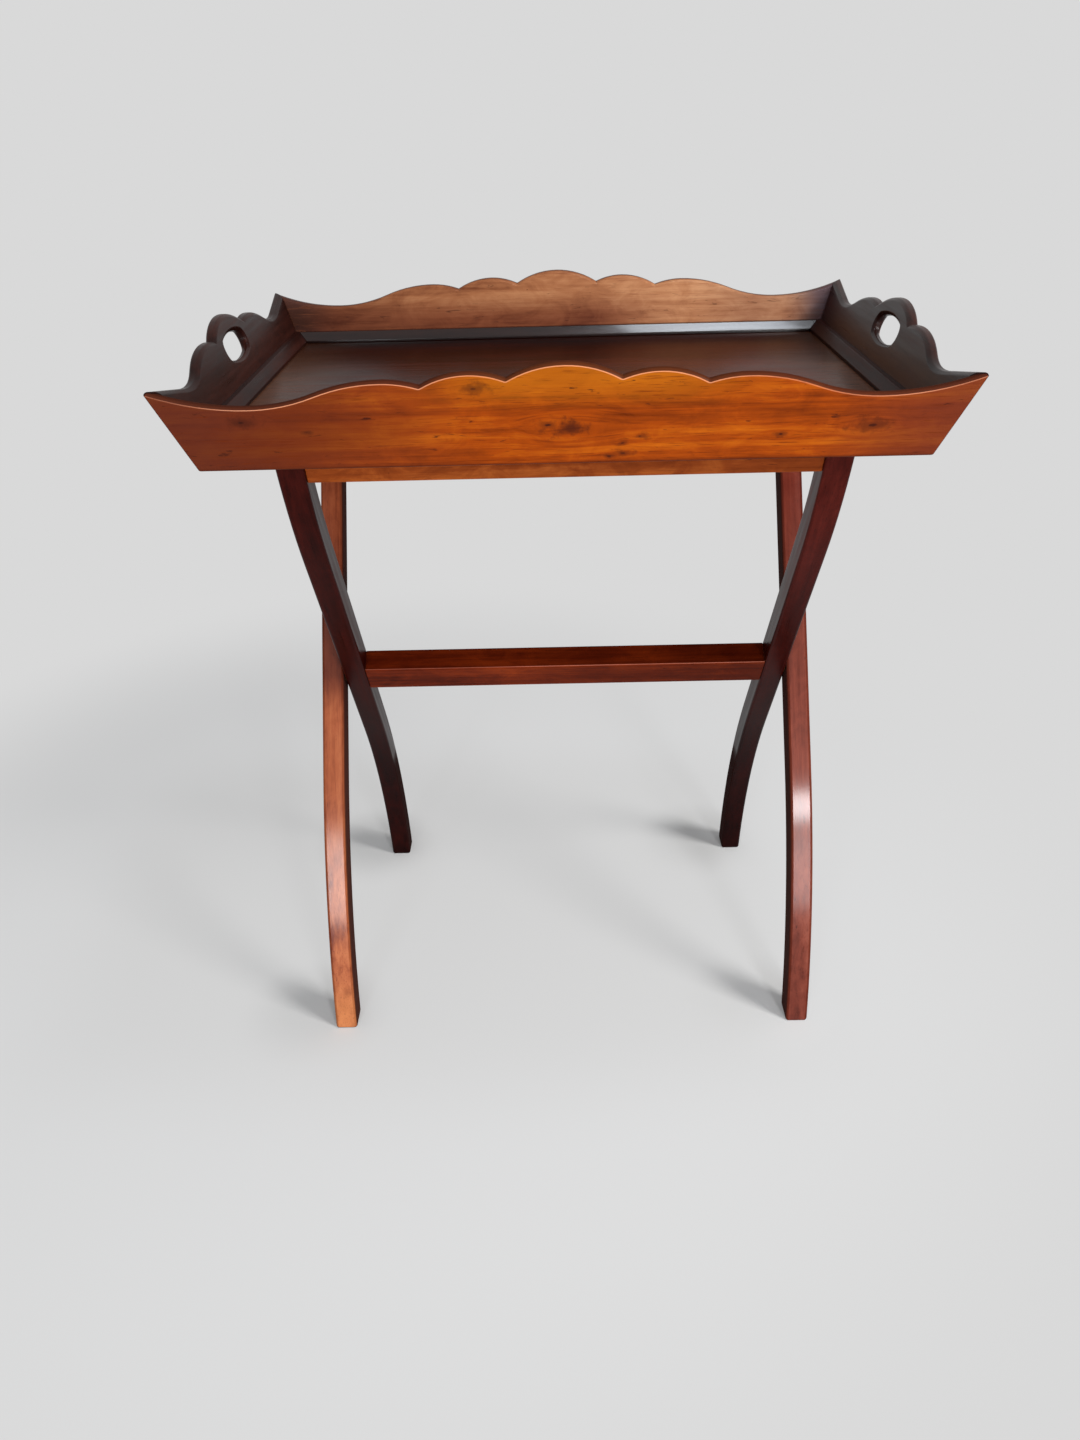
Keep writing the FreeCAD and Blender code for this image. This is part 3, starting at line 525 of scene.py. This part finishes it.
frontBoardLook = {
    **plainMahogany,
    "shift": (0.3, 0.1, 0.0),
    "dark": tone(94, 33, 3),
    "middle": tone(142, 57, 4),
    "light": tone(174, 85, 9),
    "grain": (0.38, 0.4, 0.22),
    "fleckColour": tone(46, 16, 9),
    "flecks": 0.8,
    "pores": 0.6,
    "shine": 0.05,
    "varnish": 0.0,
    "mattTop": (0.3, 0.6),
    "joint": tone(46, 20, 14),
    # painted highlight along the front arris
    "paintedArrisHighlight": {"from": -0.25, "peak": 0.05, "to": 0.34, "share": 0.8, "colour": tone(212, 142, 106)},
    "paintedFaceShades": [              # painted shade: brown top edge and dark foot
        {"from": 0.16, "to": 0.36, "share": 0.92, "colour": tone(66, 30, 18), "blend": "MIX"},
        {"from": -0.45, "to": -0.7, "share": 0.8, "colour": tone(60, 22, 10), "blend": "MIX"},
    ],
    "fades": [               # left end, right end, golden crown, line along the foot: painted fall-off of light at the ends, painted glow at the crown, painted shadow line over the rail
        {"axis": "X", "middle": 0.35, "from": 0.38, "to": 0.66, "wave": 0.1,
         "share": 0.86, "colour": tone(72, 30, 22), "blend": "MIX"},
        {"axis": "X", "middle": -0.35, "from": 0.54, "to": 0.67, "wave": 0.12,
         "share": 0.72, "colour": tone(88, 36, 26), "blend": "MIX"},
        {"axis": "X", "middle": 0.02, "from": 0.16, "to": 0.05, "wave": 0.05,
         "share": 0.5, "colour": tone(182, 104, 14), "blend": "MIX", "only": ("Z", 0.712, 0.74)},
        {"axis": "Z", "middle": 0.8, "from": 0.13, "to": 0.1335, "wave": 0.0,
         "share": 0.7, "colour": tone(60, 22, 10), "blend": "MIX"},
    ],
    "knots": [               # places are shifted as the grain is
        {"place": (0.2867, -0.1288, 0.7016), "size": 0.0036, "core": 0.95, "halo": 0.5, "swell": 0.012},
        {"place": (0.3025, -0.1278, 0.6988), "size": 0.0056, "core": 0.5, "halo": 0.8, "swell": 0.027},
        {"place": (0.0451, -0.1317, 0.7096), "size": 0.0045, "core": 0.95, "halo": 0.55, "swell": 0.0135},
        {"place": (0.095, -0.1285, 0.7), "size": 0.0018, "core": 0.95, "halo": 0.55, "swell": 0.0054},
        {"place": (0.23, -0.1405, 0.7337), "size": 0.0042, "core": 0.8, "halo": 0.55, "swell": 0.0126},
        {"place": (0.36, -0.1245, 0.69), "size": 0.0022, "core": 0.95, "halo": 0.55, "swell": 0.0066},
        {"place": (0.473, -0.1242, 0.689), "size": 0.0026, "core": 0.95, "halo": 0.55, "swell": 0.0078},
        {"place": (0.5441, -0.1264, 0.6951), "size": 0.0055, "core": 0.9, "halo": 0.55, "swell": 0.0165},
        {"place": (0.336, -0.1182, 0.6725), "size": 0.0022, "core": 0.9, "halo": 0.55, "swell": 0.005},
        {"place": (0.3475, -0.119, 0.675), "size": 0.003, "core": 0.9, "halo": 0.6, "swell": 0.006},
        {"place": (0.3455, -0.1225, 0.6845), "size": 0.002, "core": 0.9, "halo": 0.5, "swell": 0.005},
    ],
}

rearBoardLook = {
    **plainMahogany,
    "shift": (1.7, 0.4, 0.2),
    "dark": tone(124, 71, 45),
    "middle": tone(174, 116, 79),
    "light": tone(204, 149, 107),
    "grain": (0.3, 0.4, 0.3),
    "shine": 0.1,
    "varnish": 0.02,
    "farSide": {"axis": "Y", **outsideTones},
    "paintedFaceShades": [              # painted shade on the top edge
        {"from": 0.8, "to": 0.95, "share": 0.8, "colour": tone(62, 28, 18), "blend": "MIX"},
    ],
    "fades": [               # left part, its foot, left end, right end, both mitres; the blue-dark mitres are painted shade in the tray's inner corners
        {"axis": "X", "middle": 0.22, "from": 0.08, "to": 0.24, "wave": 0.1,
         "share": 0.95, "colour": tone(234, 222, 212), "blend": "MULTIPLY"},
        {"axis": "Z", "middle": 0.76, "from": 0.022, "to": 0.056, "wave": 0.01,
         "share": 0.95, "colour": tone(190, 162, 160), "blend": "MULTIPLY", "only": ("X", 0.15, 0.04)},
        {"axis": "X", "middle": 0.3, "from": 0.44, "to": 0.62, "wave": 0.06,
         "share": 0.95, "colour": tone(178, 162, 168), "blend": "MULTIPLY"},
        {"axis": "X", "middle": -0.4, "from": 0.53, "to": 0.62, "wave": 0.05,
         "share": 0.6, "colour": tone(206, 206, 222), "blend": "MULTIPLY"},
        {"axis": "X", "middle": 0.0, "from": 0.25, "to": 0.305, "wave": 0.03,
         "share": 0.95, "colour": tone(118, 138, 206), "blend": "MULTIPLY"},
    ],
}

# inner faces darkened as painted shade, outer faces in the outside tones
endBoardLook = {
    **plainMahogany,
    **darkInsideTones,
    "turn": (0.0, 0.0, quarter),
    "shift": (2.1, 0.0, 0.5),
    "farSide": {"axis": "X", **outsideTones},
}
leftEndBoardLook = {**endBoardLook, "shine": 0.06, "varnish": 0.01}
rightEndBoardLook = {**endBoardLook, "shine": 0.12, "varnish": 0.04}

longBeadLook = {
    **plainMahogany,
    "shift": (0.6, 1.2, 0.0),
    "dark": tone(14, 6, 5),
    "middle": tone(26, 11, 9),
    "light": tone(38, 17, 13),
    "gloss": (0.18, 0.26),
    "shine": 0.24,
    "varnish": 0.32,
}
endBeadLook = {
    **plainMahogany,
    **darkInsideTones,
    "turn": (0.0, 0.0, quarter),
    "shine": 0.03,
    "varnish": 0.02,
}

trayFloorLook = {
    **plainMahogany,
    "shift": (0.9, 0.0, 0.0),
    "dark": tone(30, 8, 3),
    "middle": tone(48, 13, 6),
    "light": tone(68, 21, 10),
    "gloss": (0.16, 0.26),
    "shine": 0.024,
    "varnish": 0.01,
    "varnishBlur": 0.05,
    "fades": [               # redder right of the middle, paler at both ends as a painted reflection, darker at the rear
        {"axis": "X", "middle": 0.15, "from": 0.13, "to": 0.04, "wave": 0.04,
         "share": 0.3, "colour": tone(112, 44, 20), "blend": "MIX"},
        {"axis": "X", "middle": 0.0, "from": 0.2, "to": 0.3, "wave": 0.05,
         "share": 0.5, "colour": tone(118, 82, 62), "blend": "MIX"},
        {"axis": "Y", "middle": -0.3, "from": 0.33, "to": 0.5, "wave": 0.05,
         "share": 0.9, "colour": tone(140, 122, 116), "blend": "MULTIPLY"},
    ],
}

legLean = math.radians(33.0)
# painted shade on the legs' faces that look down
legUndersideShade = {"from": 0.12, "to": 0.02, "share": 0.95, "colour": tone(126, 92, 88), "blend": "MULTIPLY"}
# painted shade on the lower part of the inner legs
innerLegFootShade = {
    "axis": "Z", "middle": 0.68, "from": 0.28, "to": 0.52, "wave": 0.04,
    "share": 0.8, "colour": tone(172, 140, 140), "blend": "MULTIPLY",
}
innerLegLeftLook = {
    **plainMahogany,
    "turn": (-legLean, quarter, 0.0),
    "dark": tone(58, 18, 12),
    "middle": tone(90, 31, 22),
    "light": tone(116, 46, 34),
    "shine": 0.05,
    "varnish": 0.0,
    # painted shade on the inner sides, low down
    "mattShadedSides": {"above": 0.215, "below": 0.165, "share": 0.85, "colour": tone(38, 14, 11)},
    "paintedFaceShades": [legUndersideShade],
    "fades": [innerLegFootShade],
}
innerLegRightLook = {
    **innerLegLeftLook,
    "dark": tone(80, 28, 22),
    "middle": tone(118, 47, 37),
    "light": tone(148, 66, 54),
    "fades": [               # painted shade from a little below the top, then the foot
        {"axis": "Z", "middle": 0.68, "from": 0.13, "to": 0.25, "wave": 0.03,
         "share": 1.0, "colour": tone(190, 172, 164), "blend": "MULTIPLY"},
        innerLegFootShade,
    ],
}
outerLegLook = {
    **plainMahogany,
    "turn": (legLean, quarter, 0.0),
    "shine": 0.1,
    "varnish": 0.4,
    "mattShadedSides": {"above": 2.0, "below": 1.0, "share": 0.8, "colour": tone(50, 22, 15)},  # painted shade on the inner sides at any height
    "paintedFaceShades": [legUndersideShade],
}
outerLegLeftLook = {
    **outerLegLook,
    "shift": (0.0, 0.7, 1.1),
    "dark": tone(108, 44, 25),
    "middle": tone(164, 88, 53),
    "light": tone(190, 113, 71),
    "varnishBlur": 0.17,
    "edges": {"share": 0.35, "colour": tone(64, 24, 16)},
    "fades": [               # golden foot, painted shade on the upper part, painted shadow at the crossing
        {"axis": "Z", "middle": 0.0, "from": 0.07, "to": 0.02, "wave": 0.02,
         "share": 0.4, "colour": tone(206, 132, 76), "blend": "MIX"},
        {"axis": "Z", "middle": 0.0, "from": 0.24, "to": 0.5, "wave": 0.04,
         "share": 0.6, "colour": tone(190, 152, 152), "blend": "MULTIPLY"},
        {"axis": "Z", "middle": 0.405, "from": 0.075, "to": 0.03, "wave": 0.02,
         "share": 0.9, "colour": tone(156, 132, 142), "blend": "MULTIPLY"},
    ],
}
outerLegRightLook = {
    **outerLegLook,
    "shift": (0.4, 1.7, 0.1),
    "dark": tone(80, 28, 16),
    "middle": tone(116, 50, 34),
    "light": tone(140, 70, 52),
    "varnishBlur": 0.15,
    "edges": {"share": 0.5, "colour": tone(64, 24, 16)},
    "fades": [               # towards the top and the foot
        {"axis": "Z", "middle": 0.24, "from": 0.12, "to": 0.34, "wave": 0.02,
         "share": 0.9, "colour": tone(196, 150, 140), "blend": "MULTIPLY"},
    ],
}

stretcherLook = {
    **plainMahogany,
    "shift": (0.2, 2.0, 0.0),
    "dark": tone(58, 15, 5),
    "middle": tone(96, 31, 10),
    "light": tone(128, 48, 15),
    "shine": 0.02,
    "varnish": 0.0,
    # painted highlight along the stretcher's front arris
    "paintedArrisHighlight": {"from": 0.25, "peak": 0.5, "to": 0.8, "share": 0.7, "colour": tone(190, 112, 90)},
    "paintedFaceShades": [              # painted shade on the top, under the tray
        {"from": 0.3, "to": 0.65, "share": 0.9, "colour": tone(206, 186, 176), "blend": "MULTIPLY"},
    ],
    "fades": [               # towards the right end
        {"axis": "X", "middle": -0.12, "from": 0.12, "to": 0.32, "wave": 0.06,
         "share": 0.8, "colour": tone(200, 190, 190), "blend": "MULTIPLY"},
    ],
}
railLook = {
    **plainMahogany,
    "shift": (0.0, 3.0, 0.0),
    "dark": tone(84, 31, 7),
    "middle": tone(124, 55, 18),
    "light": tone(160, 83, 33),
    "grain": (0.25, 0.35, 0.4),
    "shine": 0.04,
    "varnish": 0.0,
}

woodLooks = {
    "frontBoard": frontBoardLook,
    "rearBoard": rearBoardLook,
    "leftEndBoard": leftEndBoardLook,
    "rightEndBoard": rightEndBoardLook,
    "longBead": longBeadLook,
    "endBead": endBeadLook,
    "trayFloor": trayFloorLook,
    "innerLeg": innerLegLeftLook,
    "innerLegRight": innerLegRightLook,
    "leftLeg": outerLegLeftLook,
    "rightLeg": outerLegRightLook,
    "stretcher": stretcherLook,
    "rail": railLook,
}
finishes = {name: makeWood(name + "Wood", look) for name, look in woodLooks.items()}
print("wood finishes made:", len(finishes))


# brass

brassSurface = {
    "tarnish": {"scale": 260.0, "detail": 4.0, "rough": 0.6},
    "scratches": {"scale": 1900.0, "detail": 2.0, "rough": 0.6},
    "tarnishSpan": (0.35, 0.65),
    "glossSpan": (0.3, 0.7),
    "rubbedShare": 0.5,
    "scratchBump": (0.12, 0.0001),  # strength and depth
}
brassLooks = {
    "pivotBrass": {
        "bright": tone(150, 112, 62), "dull": tone(64, 44, 26),
        "tarnish": 0.9, "gloss": (0.38, 0.62),
    },
    "tackBrass": {
        "bright": tone(190, 146, 78), "dull": tone(98, 70, 38),
        "tarnish": 0.7, "gloss": (0.28, 0.5),
    },
}


def makeBrass(name, look):
    material, graph, shader = startMaterial(name)
    place = graph.add("ShaderNodeTexCoord").outputs["Object"]
    tarnish = graph.noise(place, **brassSurface["tarnish"])
    scratches = graph.noise(place, **brassSurface["scratches"])
    dulled = graph.spread(tarnish, *brassSurface["tarnishSpan"], 0.0, look["tarnish"])
    colour = graph.mix(dulled, look["bright"], look["dull"])
    edge = graph.add("ShaderNodeAttribute", attribute_name="wornEdge").outputs["Fac"]
    colour = graph.mix(graph.math("MULTIPLY", edge, brassSurface["rubbedShare"]), colour, look["bright"])
    graph.feed(colour, shader.inputs["Base Color"])
    rough = graph.spread(tarnish, *brassSurface["glossSpan"], *look["gloss"], "LINEAR")
    graph.feed(rough, shader.inputs["Roughness"])
    shader.inputs["Metallic"].default_value = 1.0
    graph.feed(graph.bump(scratches, *brassSurface["scratchBump"]), shader.inputs["Normal"])
    return material


finishes.update({name: makeBrass(name, look) for name, look in brassLooks.items()})


# webbing

strapPlan = {
    "places": {"strap_left": -0.115, "strap_right": 0.115},
    "width": 0.046,
    "halfLength": 0.194,
    "bottom": 0.6753,
    "thickness": 0.0018,
    "onRail": 0.1705,        # from here out the strap lies flat on the rail
    "sag": 0.0035,
    "rows": 120,
    "around": 32,
    "squareness": 8,         # how square the section is before its edges round off
    "selvedge": 0.8,         # from here out the webbing is thinner, by the next share
    "selvedgeShare": 0.92,
}
webbingLook = {
    "dark": tone(74, 56, 38),
    "middle": tone(128, 104, 74),
    "light": tone(170, 146, 110),
    "toneStops": (0.1, 0.4, 0.7),
    "chevron": 0.0092,
    "yarn": 0.0016,
    "weftShare": 0.3,
    "twillShare": 0.7,
    "reliefShare": 0.32,
    "fuzz": {"scale": 900.0, "detail": 3.0},
    "fuzzShare": 0.7,
    "stripe": tone(110, 52, 36),
    "stripeFrom": 0.0125,    # metres from the strap's middle
    "stripeTo": 0.0165,
    "stripeBlur": 0.0003,
    "stripeShare": 0.7,
    "dirt": {"scale": 22.0, "detail": 3.0},
    "dirtSpan": (0.5, 0.75),
    "dirtShare": 0.5,
    "rough": 0.86,
    "sheen": 0.25,
    "fuzzRelief": 0.3,
    "bump": (0.7, 0.0005),   # strength and depth
}


def makeWebbing(name, look):
    material, graph, shader = startMaterial(name)
    place = graph.add("ShaderNodeTexCoord")
    weave = graph.axes(place.outputs["UV"])
    across, along = weave["X"], weave["Y"]
    fuzz = graph.noise(place.outputs["Object"], **look["fuzz"])
    dirt = graph.noise(place.outputs["Object"], **look["dirt"])

    yarns = 2 * math.pi / look["yarn"]
    zigzag = graph.math("ADD", along, graph.math("PINGPONG", across, look["chevron"] / 2))
    twill = graph.math("SINE", graph.math("MULTIPLY", zigzag, yarns))
    weft = graph.math("SINE", graph.math("MULTIPLY", across, yarns))
    relief = graph.math("MULTIPLY", twill, look["twillShare"])
    relief = graph.math("MULTIPLY_ADD", weft, look["weftShare"], relief)

    level = graph.math("MULTIPLY", relief, look["reliefShare"])
    level = graph.math("MULTIPLY_ADD", fuzz, look["fuzzShare"], level)
    colour = graph.ramp(level, list(zip(look["toneStops"], (look["dark"], look["middle"], look["light"]))))
    off = graph.math("ABSOLUTE", graph.math("ADD", across, -strapPlan["width"] / 2))
    inner = graph.spread(off, look["stripeFrom"], look["stripeFrom"] + look["stripeBlur"], 0.0, 1.0)
    outer = graph.spread(off, look["stripeTo"], look["stripeTo"] + look["stripeBlur"], 1.0, 0.0)
    stripe = graph.math("MULTIPLY", inner, outer)
    colour = graph.mix(graph.math("MULTIPLY", stripe, look["stripeShare"]), colour, look["stripe"])
    soiled = graph.spread(dirt, *look["dirtSpan"], 0.0, look["dirtShare"])
    colour = graph.mix(soiled, colour, look["dark"])

    graph.feed(colour, shader.inputs["Base Color"])
    shader.inputs["Roughness"].default_value = look["rough"]
    shader.inputs["Sheen Weight"].default_value = look["sheen"]
    height = graph.math("MULTIPLY_ADD", fuzz, look["fuzzRelief"], relief)
    graph.feed(graph.bump(height, *look["bump"]), shader.inputs["Normal"])
    return material


finishes["webbing"] = makeWebbing("webbing", webbingLook)
print("brass and webbing made")


# woodwork and pivots: the frame's own shapes with their arrises softened

arris = {
    "widths": {
        "board": 0.0009, "bead": 0.0006, "leg": 0.0012,
        "bar": 0.0008, "bolt": 0.0003, "washer": 0.0002,
    },
    "segments": 3,
    "sharperThan": math.radians(28.0),
    "flatWithin": math.radians(0.5),
    "weld": 2e-6,
    "normalWeight": 100,
}
easedPieces = {              # finish, body, slot, kind of arris
    "front_board": ("frontBoard", "tray", "tray_wood", "board"),
    "rear_board": ("rearBoard", "tray", "tray_wood", "board"),
    "left_end_board": ("leftEndBoard", "tray", "tray_wood", "board"),
    "right_end_board": ("rightEndBoard", "tray", "tray_wood", "board"),
    "front_bead": ("longBead", "tray", "bead_wood", "bead"),
    "rear_bead": ("longBead", "tray", "bead_wood", "bead"),
    "left_bead": ("endBead", "tray", "bead_wood", "bead"),
    "right_bead": ("endBead", "tray", "bead_wood", "bead"),
    "inner_leg_left": ("innerLeg", "inner_frame", "stand_wood", "leg"),
    "inner_leg_right": ("innerLegRight", "inner_frame", "stand_wood", "leg"),
    "outer_leg_left": ("leftLeg", "outer_frame", "stand_wood", "leg"),
    "outer_leg_right": ("rightLeg", "outer_frame", "stand_wood", "leg"),
    "stretcher": ("stretcher", "inner_frame", "stand_wood", "bar"),
    "front_rail": ("rail", "inner_frame", "stand_wood", "bar"),
    "rear_rail": ("rail", "outer_frame", "stand_wood", "bar"),
    "pivot_bolts": ("pivotBrass", "inner_frame", "pivot_brass", "bolt"),
    "pivot_washers": ("pivotBrass", "inner_frame", "pivot_brass", "washer"),
}


def softenArrises(node, finish, body, kind):
    bm = bmesh.new()
    bm.from_mesh(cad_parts[node].data)
    bmesh.ops.remove_doubles(bm, verts=bm.verts, dist=arris["weld"])
    bmesh.ops.dissolve_limit(bm, angle_limit=arris["flatWithin"], verts=bm.verts, edges=bm.edges)
    worn = bm.faces.layers.float.new("wornEdge")
    sharp = [edge for edge in bm.edges if edge.is_manifold and edge.calc_face_angle() > arris["sharperThan"]]
    eased = bmesh.ops.bevel(bm, geom=sharp, offset=arris["widths"][kind], offset_type="OFFSET",
                            segments=arris["segments"], profile=0.5, affect="EDGES", material=-1,
                            clamp_overlap=False)
    for face in eased["faces"]:
        face[worn] = 1.0
    for face in bm.faces:
        face.smooth = True
    piece = placePiece(bm, node + "_piece", finishes[finish])
    even = piece.modifiers.new("evenShading", "WEIGHTED_NORMAL")
    even.weight = arris["normalWeight"]
    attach(piece, body)
    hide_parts(node)


for node, (finish, body, slotName, kind) in easedPieces.items():
    softenArrises(node, finish, body, kind)
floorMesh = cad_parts["tray_floor"].data  # the floor panel's edges are hidden, so it stays as it is
floorMesh.materials.clear()
floorMesh.materials.append(finishes["trayFloor"])
print("woodwork and pivots done:", len(easedPieces), "pieces")


# straps

def weaveStrap(middle, level, plan):
    half, deep, reach = plan["width"] / 2, plan["thickness"] / 2, plan["halfLength"]
    bm = bmesh.new()
    bmesh.ops.create_circle(bm, segments=plan["around"], radius=half, cap_ends=False)
    for vertex in bm.verts:  # flat section, thinner at its two selvedges
        edge = min(1.0, abs(vertex.co.x) / half)
        rise = deep * math.sqrt(1.0 - edge ** plan["squareness"])
        if edge > plan["selvedge"]:
            rise *= plan["selvedgeShare"]
        vertex.co = (middle + vertex.co.x, -reach, level + math.copysign(rise, vertex.co.y))
    rim = list(bm.edges)
    for row in range(plan["rows"]):
        grown = bmesh.ops.extrude_edge_only(bm, edges=rim)["geom"]
        rim = [part for part in grown if isinstance(part, bmesh.types.BMEdge) and part.is_boundary]
        moved = [part for part in grown if isinstance(part, bmesh.types.BMVert)]
        bmesh.ops.translate(bm, verts=moved, vec=(0.0, 2.0 * reach / plan["rows"], 0.0))
    bmesh.ops.holes_fill(bm, edges=bm.edges, sides=plan["around"])
    for vertex in bm.verts:  # hangs a little between the rails
        hang = max(0.0, 1.0 - (vertex.co.y / plan["onRail"]) ** 2)
        vertex.co.z -= plan["sag"] * hang * hang
    bmesh.ops.recalc_face_normals(bm, faces=bm.faces)
    layer = bm.loops.layers.uv.new("weave")
    for face in bm.faces:
        face.smooth = True
        for loop in face.loops:  # metres across and along the strap
            loop[layer].uv = (loop.vert.co.x - middle + half, loop.vert.co.y + reach)
    return bm


def hangStrap(node, middle, plan):
    level = plan["bottom"] + plan["thickness"] / 2
    strap = placePiece(weaveStrap(middle, level, plan), node + "_webbing", finishes["webbing"])
    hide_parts(node)
    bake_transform(strap)


for node, middle in strapPlan["places"].items():
    hangStrap(node, middle, strapPlan)


# tacks

tackPlan = {
    "nodes": {"front_strap_tacks": "inner_frame", "rear_strap_tacks": "outer_frame"},
    "spacing": 0.014,
    "perEnd": 3,
    "headRadius": 0.00312,
    "headHeight": 0.00088,
    "headSteps": 6,
    "lift": 0.00001,         # keeps the head's underside off the webbing
    "shank": [(0.0008, 0.0), (0.0007, -0.006), (0.0, -0.0108)],
    "steps": 20,
}


def tackOutline(plan):  # reach from the axis and height, over the dome and down the shank
    slants = [quarter * step / plan["headSteps"] for step in range(plan["headSteps"] + 1)]
    height = plan["headHeight"] - plan["lift"]
    dome = [(plan["headRadius"] * math.sin(slant), height * math.cos(slant)) for slant in slants]
    return dome + plan["shank"]


def hammerTacks(node, body, plan):
    lowest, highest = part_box(node)
    middleY = (lowest.y + highest.y) / 2
    level = strapPlan["bottom"] + strapPlan["thickness"] + plan["lift"]
    bm = bmesh.new()
    for strapX in strapPlan["places"].values():
        for count in range(plan["perEnd"]):
            x = strapX + plan["spacing"] * (count - (plan["perEnd"] - 1) / 2)
            line = [bm.verts.new((x + reach, middleY, level + rise)) for reach, rise in tackOutline(plan)]
            edges = [bm.edges.new(pair) for pair in zip(line, line[1:])]
            bmesh.ops.spin(bm, geom=line + edges, cent=(x, middleY, 0.0), axis=(0.0, 0.0, 1.0),
                           angle=2 * math.pi, steps=plan["steps"], use_merge=True)
    bmesh.ops.remove_doubles(bm, verts=bm.verts, dist=arris["weld"])
    bmesh.ops.recalc_face_normals(bm, faces=bm.faces)
    for face in bm.faces:
        face.smooth = True
    tacks = placePiece(bm, node + "_domed", finishes["tackBrass"])
    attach(tacks, body)
    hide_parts(node)


for node, body in tackPlan["nodes"].items():
    hammerTacks(node, body, tackPlan)
print("straps and tacks done")
